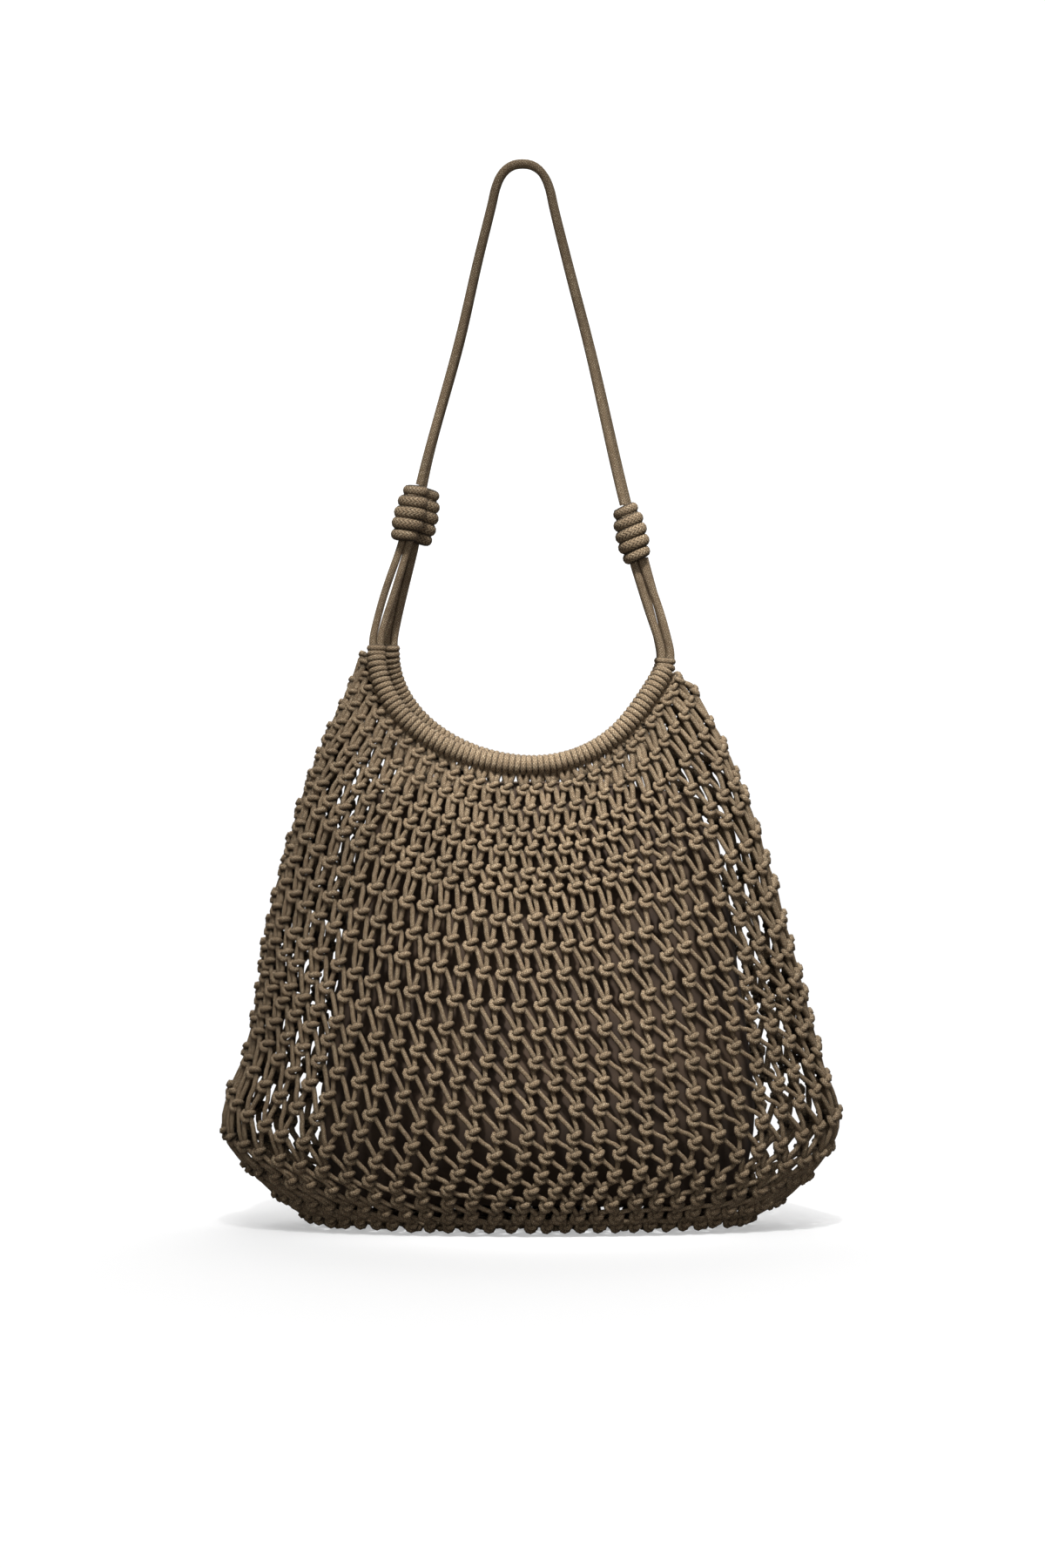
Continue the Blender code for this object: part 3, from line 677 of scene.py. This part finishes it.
def netKnots():
    dice = random.Random(netPlan["seed"])
    rows = []
    twist = 0.0
    for j, plan in enumerate([{"share": -0.02, "twist": 0.0, "lift": 0.0}] + netRowTable):
        twist += plan["twist"]
        lengths = rowTable(lambda turn: rowShareAt(plan, turn))
        spacing = lengths[-1] / netPlan["columns"]
        row = []
        for i in range(netPlan["columns"]):
            turn = columnTurn(lengths, i + j / 2, twist, evenness(plan["share"]))
            share = rowShareAt(plan, turn)
            outward = skinOutward(turn, max(share, 0.02))
            if share < 0:
                spot = rimKnot(turn % 1.0)
            else:
                spot = skinPoint(turn, share) - outward * netPlan["sink"]
                if j <= len(netPlan["endPull"]):
                    # the first knots are drawn close to the rim where it ends on the right
                    near = max(0.0, math.cos(turn * math.tau)) ** 4
                    spot = spot.lerp(rimKnot(turn % 1.0), netPlan["endPull"][j - 1] * near)
                spot += Vector([dice.uniform(-1, 1) for k in range(3)]) * netPlan["scatter"]
            spot.z = max(spot.z, netPlan["lowest"])
            row.append({"spot": spot, "outward": outward, "row": j, "hidden": share < 0,
                        "size": min(1.0, max(netPlan["topCrowding"], spacing / 0.0125))})
        rows.append(row)
    count = netPlan["columns"]
    for row in rows:
        for i, knot in enumerate(row):
            along = row[(i + 1) % count]["spot"] - row[i - 1]["spot"]
            along -= knot["outward"] * along.dot(knot["outward"])
            level = Vector((0, 0, 1)).cross(knot["outward"])
            knot["right"] = (along.normalized() + level.normalized() * 2).normalized()
            knot["upward"] = knot["outward"].cross(knot["right"])
    return rows


def fromKnot(knot, place):
    # A spot given in mm from the knot's middle: right, outwards and up
    right, outward, up = [value * 0.001 * knot["size"] for value in place]
    return knot["spot"] + knot["right"] * right + knot["outward"] * outward + knot["upward"] * up


def cordBetween(parent, child, leave, enter):
    # A cord from one knot to a lower one, plunging into both
    start, out, inside, end = [fromKnot(knot, place) for knot, place in (
        (parent, leave[0]), (parent, leave[1]), (child, enter[0]), (child, enter[1]))]
    if parent["hidden"]:
        start = parent["spot"]
        out, inside = start.lerp(end, 0.3), start.lerp(end, 0.75)
    along = [blendPoints(start, out, inside, end, share) for share in (0.33, 0.67)]
    # The cords are soft and full near the rim, and drawn thinner by the load lower down
    size = netPlan["fullness"] - (netPlan["fullness"] - 1) * min(parent["row"] / 10, 1.0)
    if parent["row"] >= 3:
        size *= (parent["size"] + child["size"]) / 2
    points = [start, out, *along, inside, end]
    return [(point, thick * size, lit) for point, (thick, lit) in zip(points, cordSizes)]


def pointsMesh(name, knots):
    mesh = bpy.data.meshes.new(name)
    mesh.from_pydata([tuple(knot["spot"]) for knot in knots], [], [])
    for key, sign, source in (("upward", 1, "upward"), ("inward", -1, "outward")):
        layer = mesh.attributes.new(key, "FLOAT_VECTOR", "POINT")
        layer.data.foreach_set("vector", [sign * value for knot in knots for value in knot[source]])
    sizes = mesh.attributes.new("size", "FLOAT", "POINT")
    sizes.data.foreach_set("value", [knot["size"] for knot in knots])
    return mesh


def knotLines():
    # The knot's two wraps as edges, with +Y into the bag
    lines = []
    for wrap in (knotBar, knotHook):
        lines.append([(Vector((x, -out, up)) * 0.001, thick, lit) for x, out, up, thick, lit in wrap])
    shape = bpy.data.objects.new("knot_lines", linesMesh("knot_lines", lines))
    bpy.context.scene.collection.objects.link(shape)
    shape.hide_render = True
    return shape


basePlan = {
    "across": 0.0150,      # between knots along the base
    "deep": 0.0125,        # between its rows
    "inset": 0.0055,       # from the lowest row of the net
    "size": 0.92,
}


def baseKnots(lastRow):
    # Knots over the flat base, in offset rows, and the cords that join them and tie them to the net
    rim = netSections[-1]
    knots = {}
    for j in range(-4, 5):
        for i in range(-12, 13):
            x, y = (i + (j % 2) / 2) * basePlan["across"], j * basePlan["deep"]
            reach = bagShape["width"] / 2 * (rim["right"] if x > 0 else rim["left"])
            cosine = abs(x) / reach
            if cosine >= 1:
                continue
            edge = bagShape["depth"] / 2 * rim["depth"] * (1 - cosine ** 2) ** (rim["roundness"] / 2)
            if abs(y) < edge - basePlan["inset"]:
                knots[i, j] = {"spot": Vector((x, y, netPlan["lowest"])), "outward": Vector((0, 0, -1)),
                               "right": Vector((1, 0, 0)), "upward": Vector((0, -1, 0)),
                               "hidden": False, "size": basePlan["size"]}
    lines = []
    for (i, j), knot in knots.items():
        shift = j % 2
        for side in (0, 1):
            for step in (1, -1):
                other = knots.get((i + shift - 1 + side, j + step))
                if other is None:
                    near = Vector(((i + shift / 2 - 0.5 + side) * basePlan["across"],
                                   (j + step) * basePlan["deep"], netPlan["lowest"]))
                    other = min(lastRow, key=lambda k: (k["spot"] - near).length)
                elif step < 0:
                    continue
                start, end = knot["spot"], other["spot"]
                lines.append([(start.lerp(end, share), 0.92, lit)
                              for share, lit in ((0, 0.4), (0.25, 0.8), (0.5, 1.0), (0.75, 0.8), (1, 0.4))])
    return list(knots.values()), lines


def buildNet():
    rows = netKnots()
    shape = knotLines()
    values = {"Cord diameter": netPlan["cord"], "Cord material": cords["net"]}
    parts = []
    for faceName, wanted in (("front", lambda knot: knot["outward"].y < 0), ("back", lambda knot: knot["outward"].y >= 0)):
        knots = [knot for row in rows for knot in row if not knot["hidden"] and wanted(knot)]
        lines = []
        for j in range(len(rows) - 1):
            for i, parent in enumerate(rows[j]):
                if not wanted(parent):
                    continue
                lines.append(cordBetween(parent, rows[j + 1][i], leaveRight, enterLeft))
                lines.append(cordBetween(parent, rows[j + 1][i - 1], leaveLeft, enterRight))
        parts.append((faceName, knots, lines))
    parts.append(("base", *baseKnots(rows[-1])))
    for partName, knots, lines in parts:
        values["Cord diameter"] = netPlan["backCord" if partName == "back" else "cord"]
        for piece in (
            runTree("net_" + partName + "_knots", pointsMesh("knots", knots), trees["knot"], {
                **values, "Knot lines": shape, "Sides": netPlan["knotSides"],
                "Tilt spread": netPlan["tiltSpread"], "Seed": netPlan["seed"]}),
            runTree("net_" + partName + "_cords", linesMesh("cords", lines), trees["cord"], {
                **values, "Sides": netPlan["cordSides"]}),
        ):
            settle(piece, "net_cord", "net_body")
    bpy.data.objects.remove(shape, do_unlink=True)
    return rows


netRows = buildNet()
print("net knotted")


# Rims: a cord wound closely round each side of the mouth

rimPlan = {
    "wraps": 70,
    "cord": 0.0046,
    "core": 0.0090,
    "leanSpread": 0.05,
    "seed": 3,
}


def rimEnd(row):
    faceName = row["name"].split("_")[1]
    point = rimPoint(0.0 if row["side"] > 0 else 0.5, *rimShifts(faceName), 0)
    point.y = row["face"] * mouthHalfDepth(0)
    point.z += bagShape["rimEndRise"]
    return point


def rimPath(faceName, face):
    points = [rimEnd(cornerCalled("right_" + faceName))]
    for k in range(49):
        turn = 0.5 * k / 48
        point = rimPoint(turn, *rimShifts(faceName), 0)
        point.y = face * mouthHalfDepth(math.sin(turn * math.tau))
        points.append(point)
    points.append(rimEnd(cornerCalled("left_" + faceName)))
    return points


def joinPieces(name, pieces):
    # Several mesh objects as one
    bm = bmesh.new()
    mesh = bpy.data.meshes.new(name)
    mesh.materials.append(pieces[0].data.materials[0])
    for piece in pieces:
        bm.from_mesh(piece.data)
    bm.to_mesh(mesh)
    bm.free()
    joined = bpy.data.objects.new(name, mesh)
    bpy.context.scene.collection.objects.link(joined)
    for piece in pieces:
        bpy.data.objects.remove(piece, do_unlink=True)
    return joined


def buildRims():
    for faceName, face in (("front", -1), ("back", 1)):
        path = evenLine(rimPath(faceName, face), 120)
        inner = [point for point in path[2:-2]]
        wraps = runTree(faceName + "_rim_wraps", linesMesh("rim", [[(p, 1.0, 1.0) for p in path[1:-1]]]), trees["wrap"], {
            "Wraps": rimPlan["wraps"],
            "Ring radius": (bagShape["rimTube"] - rimPlan["cord"]) / 2,
            "Cord diameter": rimPlan["cord"],
            "Ring points": 18,
            "Sides": 8,
            "Lean": 0.0,
            "Lean spread": rimPlan["leanSpread"],
            "Seed": rimPlan["seed"],
            "Cord material": cords["wound"],
        })
        core = runTree(faceName + "_rim_core", linesMesh("core", [[(p, 1.0, 1.0) for p in inner]]), trees["cord"], {
            "Cord diameter": rimPlan["core"], "Sides": 12, "Cord material": cords["wound"]})
        settle(joinPieces(faceName + "_wound_rim", [wraps, core]), "wound_cord", faceName + "_rim")


buildRims()
print("rims wound")


# Barrel knots of the strap, leg cords under them and the two cords of the strap

strapPlan = {
    "knotDiameter": 0.0215,
    "knotLength": 0.037,
    "knotWraps": 5,
    "overlap": 1.26,       # fullness of the wraps, which press flat against each other
    "cord": 0.0056,
    "legCord": 0.0049,
    "legPull": 0.14,
    "legEnd": 0.0015,
    "legGap": 0.0,
    "topHeight": 0.7012,
    "topX": -0.0055,
}

# Rise and sideways spread of the strap between a knot and its top, as in the solids, and how far it
# hangs to the right of that line in metres
strapLine = ((0.484, 0.612, 0.0012), (0.702, 0.440, 0.0002), (0.876, 0.300, 0.0), (0.931, 0.258, 0.0),
             (0.958, 0.222, 0.0), (0.982, 0.163, 0.0), (0.996, 0.090, 0.0))


def knotAxis(row):
    lean = math.radians(row["lean"])
    return Vector((math.sin(lean), 0, math.cos(lean)))


def knotMiddle(row):
    end = rimEnd(row)
    return Vector((
        end.x - row["tipShift"] + row["knotShift"] * bagShape["mouthWidth"],
        row["face"] * (strapPlan["knotDiameter"] + bagShape["gap"]) / 2,
        end.z - bagShape["rimEndRise"] + row["rise"] * strapPlan["knotLength"],
    ))


def buildBarrelKnots():
    wrapCord = strapPlan["knotLength"] / strapPlan["knotWraps"]
    reach = (strapPlan["knotLength"] - wrapCord) / 2
    for row in corners:
        middle, axis = knotMiddle(row), knotAxis(row)
        path = [(middle + axis * reach * share, size, 1.0)
                for share, size in ((-1, 0.86), (-0.5, 0.98), (0, 1.0), (0.5, 0.94), (1, 0.78))]
        wraps = runTree("wraps", linesMesh("barrel", [path]), trees["wrap"], {
            "Wraps": strapPlan["knotWraps"],
            "Ring radius": (strapPlan["knotDiameter"] - wrapCord * strapPlan["overlap"]) / 2,
            "Cord diameter": wrapCord * strapPlan["overlap"],
            "Ring points": 28,
            "Sides": 12,
            "Lean": math.radians(row["wrapLean"]),
            "Lean spread": 0.05,
            "Seed": 5,
            "Cord material": cords["wound"],
        })
        core = runTree("core", linesMesh("core", [[(middle + axis * reach * share, 1.0, 1.0) for share in (-1.15, 0, 1.15)]]),
                       trees["cord"], {"Cord diameter": 0.0145, "Sides": 14, "Cord material": cords["wound"]})
        settle(joinPieces(row["name"] + "_barrel_knot", [wraps, core]), "wound_cord", row["name"] + "_knot")


def legLine(row, side):
    axis, upright = knotAxis(row), Vector((0, 0, 1))
    gap, end = bagShape["gap"], strapPlan["legEnd"]
    top = knotMiddle(row) - axis * (strapPlan["knotLength"] / 2 + gap + end)
    foot = rimEnd(row) + upright * (gap + end)
    pull = (top - foot).length * strapPlan["legPull"]
    aside = (strapPlan["legCord"] * row["legSize"] + strapPlan["legGap"]) / 2
    top.x += row["sideShift"]
    points = [top + axis * end * 2 + Vector((axis.z, 0, -axis.x)) * side * aside]
    pullOut, pullIn = top - axis * pull, foot + upright * pull
    for k in range(19):
        t = k / 18
        near, far = (1 - t) ** 2, t ** 2
        centre = top * near * (1 - t) + pullOut * 3 * t * near + pullIn * 3 * far * (1 - t) + foot * far * t
        along = ((pullOut - top) * near + (pullIn - pullOut) * 2 * t * (1 - t) + (foot - pullIn) * far).normalized()
        bow = row["bow"] * strapPlan["legCord"] / 2 * math.sin(math.pi * t) ** 4
        points.append(centre + Vector((-along.z, 0, along.x)) * side * (aside + bow))
    points.append(foot - upright * end * 2 + Vector((side * aside, 0, 0)))
    return points


def strapSide(row):
    axis = knotAxis(row)
    foot = knotMiddle(row) + axis * (strapPlan["knotLength"] / 2 + bagShape["gap"])
    foot.x += row["sideShift"]
    nearTop = row["face"] * (strapPlan["cord"] + bagShape["gap"]) / 2
    points = [foot, foot + axis * strapPlan["cord"]]
    for rise, spread, shift in strapLine:
        x = strapPlan["topX"] + (foot.x - strapPlan["topX"]) * spread + shift
        y = nearTop + (foot.y - nearTop) * max(0.0, 1 - rise / strapLine[1][0])
        points.append(Vector((x, y, foot.z + (strapPlan["topHeight"] - foot.z) * rise)))
    return points


def buildStrap():
    for row in corners:
        for legName, side in (("outer", row["side"]), ("inner", -row["side"])):
            leg = runTree(row["name"] + "_" + legName + "_leg_cord",
                          linesMesh("leg", [[(p, 1.0, 1.0) for p in legLine(row, side)]]), trees["cord"],
                          {"Cord diameter": strapPlan["legCord"] * row["legSize"], "Sides": 12, "Cord material": cords["strap"]})
            settle(leg, "net_cord", row["name"] + "_" + legName + "_leg")
    for faceName, face in (("front", -1), ("back", 1)):
        left = strapSide(cornerCalled("left_" + faceName))
        right = strapSide(cornerCalled("right_" + faceName))
        top = Vector((strapPlan["topX"], face * (strapPlan["cord"] + bagShape["gap"]) / 2, strapPlan["topHeight"]))
        line = evenLine(smoothLine(left + [top] + right[::-1], 12), 160)
        cord = runTree("strap_" + faceName, linesMesh("strap", [[(p, 1.0, 1.0) for p in line]]), trees["cord"], {
            "Cord diameter": strapPlan["cord"], "Sides": 12, "Cord material": cords["strap"]})
        settle(cord, "net_cord", "strap_" + faceName + "_cord")


buildBarrelKnots()
buildStrap()
print("strap and knots built")


# Cloth pouch: an open bag that hangs inside the net in soft upright folds

pouchPlan = {
    "wall": 0.0015,
    "columns": 128,
    "rowsPerSection": 8,
    "flat": (0.29, 0.56),
}

pouchColumns = ("sideRise", "middleRise", "left", "right", "slack", "roundness")
pouchSections = [dict(zip(pouchColumns, row)) for row in (
    (0.764, 0.786, 0.516, 0.521, 0.00, 0.62),
    (0.640, 0.633, 0.570, 0.605, 0.05, 0.66),
    (0.400, 0.400, 0.635, 0.688, 0.10, 0.70),
    (0.175, 0.170, 0.675, 0.725, 0.14, 0.74),
    (0.048, 0.048, 0.635, 0.680, 0.34, 0.78),
)]

# Each fold: where round the bag, how wide, both in turns, and how deep as a share of half the depth
pouchFolds = (
    (0.045, 0.030, 0.050), (0.160, 0.035, 0.075), (0.330, 0.040, 0.080), (0.455, 0.028, 0.050),
    (0.560, 0.032, 0.060), (0.655, 0.036, 0.080), (0.835, 0.040, 0.085), (0.930, 0.030, 0.055),
)


def skinHalfDepth(rise):
    # Half depth of the net's inner side at a height, in the middle of the bag
    previous = skinPoint(0.25, 0)
    for k in range(1, skinShares + 1):
        point = skinPoint(0.25, k / skinShares)
        if point.z <= rise:
            share = (previous.z - rise) / max(previous.z - point.z, 1e-9)
            return previous.lerp(point, share).y - bagShape["wall"]
        previous = point
    return previous.y - bagShape["wall"]


def foldDepth(turn):
    total = 0.0
    for middle, width, depth in pouchFolds:
        away = abs((turn - middle + 0.5) % 1.0 - 0.5) / width
        if away < 1:
            total += depth * (0.5 + 0.5 * math.cos(math.pi * away))
    return total * bagShape["depth"] / 2


def buildPouch():
    depths = [skinHalfDepth(bagShape["height"] * row["middleRise"]) for row in pouchSections]
    lines = []
    for k in range(pouchPlan["columns"]):
        turn = k / pouchPlan["columns"]
        cosine, sine = math.cos(turn * math.tau), math.sin(turn * math.tau)
        guides = []
        for row, depth in zip(pouchSections, depths):
            reach = bagShape["width"] / 2 * (row["right"] if cosine >= 0 else row["left"])
            rise = bagShape["height"] * (row["middleRise"] + (row["sideRise"] - row["middleRise"]) * cosine ** 2)
            fold = foldDepth(turn) if row["slack"] else 0.0
            y = (depth - row["slack"] * bagShape["depth"] / 2 - fold) * abs(sine) ** row["roundness"]
            guides.append(Vector((reach * cosine * (1 - fold / reach), math.copysign(y, sine), rise)))
        lines.append(smoothLine(guides, pouchPlan["rowsPerSection"]))
    bm = bmesh.new()
    rings = [[bm.verts.new(line[j]) for line in lines] for j in range(len(lines[0]))]
    for high, low in zip(rings, rings[1:]):
        for k in range(len(high)):
            n = (k + 1) % len(high)
            bm.faces.new([high[k], high[n], low[n], low[k]])
    # The floor of the pouch as rings that close on its middle line
    previous = rings[-1]
    for share in (0.75, 0.5, 0.25):
        ring = [bm.verts.new((v.co.x * (0.4 + 0.6 * share), v.co.y * share, v.co.z)) for v in rings[-1]]
        for k in range(len(ring)):
            n = (k + 1) % len(ring)
            bm.faces.new([previous[k], previous[n], ring[n], ring[k]])
        previous = ring
    bm.faces.new(previous)
    bmesh.ops.recalc_face_normals(bm, faces=bm.faces)
    for face in bm.faces:
        face.smooth = True
    mesh = bpy.data.meshes.new("cloth_pouch")
    bm.to_mesh(mesh)
    bm.free()
    mesh.materials.append(pouchCloth)
    pouch = bpy.data.objects.new("cloth_pouch", mesh)
    bpy.context.scene.collection.objects.link(pouch)
    wall = pouch.modifiers.new("wall", "SOLIDIFY")
    wall.thickness = pouchPlan["wall"]
    wall.offset = -1.0
    settle(pouch, "pouch_cloth", "inner_pouch")


buildPouch()
print("pouch hung")


# Studio: a white floor, a soft key from above the front that falls off to the sides, and weak fills

studioPlan = {
    "floor": "#f4f4f4",        # just white under the lights, so that soft shadows on it show too
    "floorGlow": 0.40,         # share of the floor's white that no shadow takes away, as on a lit table
    "floorBounce": "#6c6a68",  # what the bag gets back from the floor, as if the floor round it were darker
    "floorHalf": 30.0,
    "around": 0.10,            # light that comes from all sides
    "suns": {
        "key": {"power": 1.3, "spread": 26.0, "elevation": 60.0, "azimuth": 0.0},
        "above": {"power": 1.3, "spread": 70.0, "elevation": 88.0, "azimuth": 0.0},
        "front": {"power": 0.85, "spread": 60.0, "elevation": 5.0, "azimuth": 0.0},
        "back": {"power": 1.1, "spread": 60.0, "elevation": 46.0, "azimuth": 168.0},
    },
    "pool": {"power": 440.0, "size": 0.10, "cone": 10.4, "elevation": 60.0, "distance": 2.3, "aim": (0.02, 0.0, 0.225)},
}


def buildStudio():
    half = studioPlan["floorHalf"]
    mesh = bpy.data.meshes.new("studio_floor")
    mesh.from_pydata([(-half, -half, 0), (half, -half, 0), (half, half, 0), (-half, half, 0)], [], [(0, 1, 2, 3)])
    material = bpy.data.materials.new("matt_studio_paper")
    material.use_nodes = True
    tree = material.node_tree
    tree.nodes.clear()
    shown = addNode(tree, "ShaderNodeBsdfDiffuse", {"Color": linearColour(studioPlan["floor"])})
    bounced = addNode(tree, "ShaderNodeBsdfDiffuse", {"Color": linearColour(studioPlan["floorBounce"])})
    glow = addNode(tree, "ShaderNodeEmission", {"Color": (1, 1, 1, 1), "Strength": 1.0})
    lit = addNode(tree, "ShaderNodeMixShader", {0: studioPlan["floorGlow"], 1: shown.outputs[0], 2: glow.outputs[0]})
    path = addNode(tree, "ShaderNodeLightPath")
    paper = addNode(tree, "ShaderNodeMixShader", {
        0: path.outputs["Is Camera Ray"], 1: bounced.outputs[0], 2: lit.outputs[0]})
    addNode(tree, "ShaderNodeOutputMaterial", {"Surface": paper.outputs[0]})
    mesh.materials.append(material)
    floor = bpy.data.objects.new("studio_floor", mesh)
    bpy.context.scene.collection.objects.link(floor)
    # The backdrop is white, and lights the bag less than it shows
    world = bpy.data.worlds.new("studio")
    world.use_nodes = True
    backdrop = world.node_tree.nodes["Background"]
    backdrop.inputs[0].default_value = (1, 1, 1, 1)
    seen = addNode(world.node_tree, "ShaderNodeLightPath")
    brightness = addNode(world.node_tree, "ShaderNodeMapRange", {
        "Value": seen.outputs["Is Camera Ray"], "To Min": studioPlan["around"], "To Max": 1.2})
    world.node_tree.links.new(brightness.outputs[0], backdrop.inputs[1])
    bpy.context.scene.world = world
    bpy.context.scene.view_settings.view_transform = "Standard"
    for name, plan in studioPlan["suns"].items():
        data = bpy.data.lights.new(name, "SUN")
        data.energy = plan["power"]
        data.angle = math.radians(plan["spread"])
        light = bpy.data.objects.new(name, data)
        light.rotation_euler = (math.radians(90 - plan["elevation"]), 0, math.radians(plan["azimuth"]))
        bpy.context.scene.collection.objects.link(light)
    # A round pool of light on the upper middle
    plan = studioPlan["pool"]
    data = bpy.data.lights.new("pool", "SPOT")
    data.energy = plan["power"]
    data.shadow_soft_size = plan["size"]
    data.spot_size = math.radians(plan["cone"])
    data.spot_blend = 1.0
    light = bpy.data.objects.new("pool", data)
    rise = math.radians(plan["elevation"])
    light.location = Vector(plan["aim"]) + Vector((0, -math.cos(rise), math.sin(rise))) * plan["distance"]
    light.rotation_euler = (math.pi / 2 - rise, 0, 0)
    bpy.context.scene.collection.objects.link(light)


buildStudio()
print("studio set")

print("finished")
